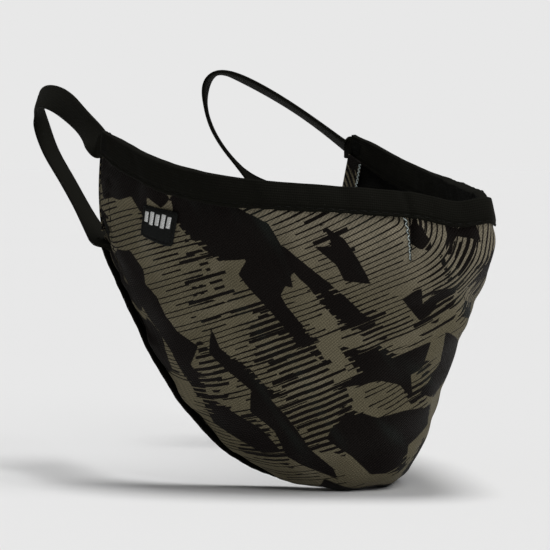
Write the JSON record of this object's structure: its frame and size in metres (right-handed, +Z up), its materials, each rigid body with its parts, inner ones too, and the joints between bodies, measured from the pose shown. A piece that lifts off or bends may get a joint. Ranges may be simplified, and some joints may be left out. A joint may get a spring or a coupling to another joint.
{
  "type": "cloth face mask",
  "caption": "Reusable cloth face mask with a camouflage print, dark lining, elastic edge binding and soft ear loops that swing at the side edges.",
  "frame": {"origin": "the point midway between the two side edges, where the wearer's face leaves the cup", "axes": "+Z up, -Y the way the mask faces, -X the wearer's right side; the cup is pitched nose down as it hangs from its loops"},
  "size_m": [0.122, 0.1596, 0.1327],
  "materials": {
    "printed_fabric": "matte knitted cloth, camouflage print",
    "lining_fabric": "matte",
    "elastic_tape": "matte ribbed",
    "loop_tape": "matte ribbed",
    "label_fabric": "matte woven",
    "mark_thread": "satin thread",
    "dark_thread": "satin thread",
    "light_thread": "satin thread"
  },
  "bodies": {
    "mask": {"outer_panel": "printed_fabric", "lining_panel": "lining_fabric", "side_hem_right": "printed_fabric", "side_hem_left": "printed_fabric", "top_binding": "elastic_tape", "bottom_binding": "elastic_tape", "side_label": "label_fabric", "label_mark": "mark_thread", "label_stitches": "dark_thread", "top_binding_stitches": "dark_thread", "bottom_binding_stitches": "dark_thread", "side_hem_stitches_right": "dark_thread", "side_hem_stitches_left": "dark_thread", "nose_dart_stitches_right": "light_thread", "nose_dart_stitches_left": "light_thread", "upper_bartack_right": "light_thread", "upper_bartack_left": "light_thread", "lower_bartack_right": "dark_thread", "lower_bartack_left": "dark_thread", "binding_join_bartack": "dark_thread"},
    "loop_right": {"ear_loop_right": "loop_tape"},
    "loop_left": {"ear_loop_left": "loop_tape"}
  },
  "joints": [
    {"name": "loop_right_swing", "type": "hinge", "parent": "mask", "child": "loop_right", "pos_m": [-0.05816, 0.00107, 0.00009], "axis": [-0.0942, -0.125, 0.9877], "range_deg": [-40, 120]},
    {"name": "loop_left_swing", "type": "hinge", "parent": "mask", "child": "loop_left", "pos_m": [0.05816, 0.00107, 0.00009], "axis": [0.0942, -0.125, 0.9877], "range_deg": [-120, 40]}
  ]
}
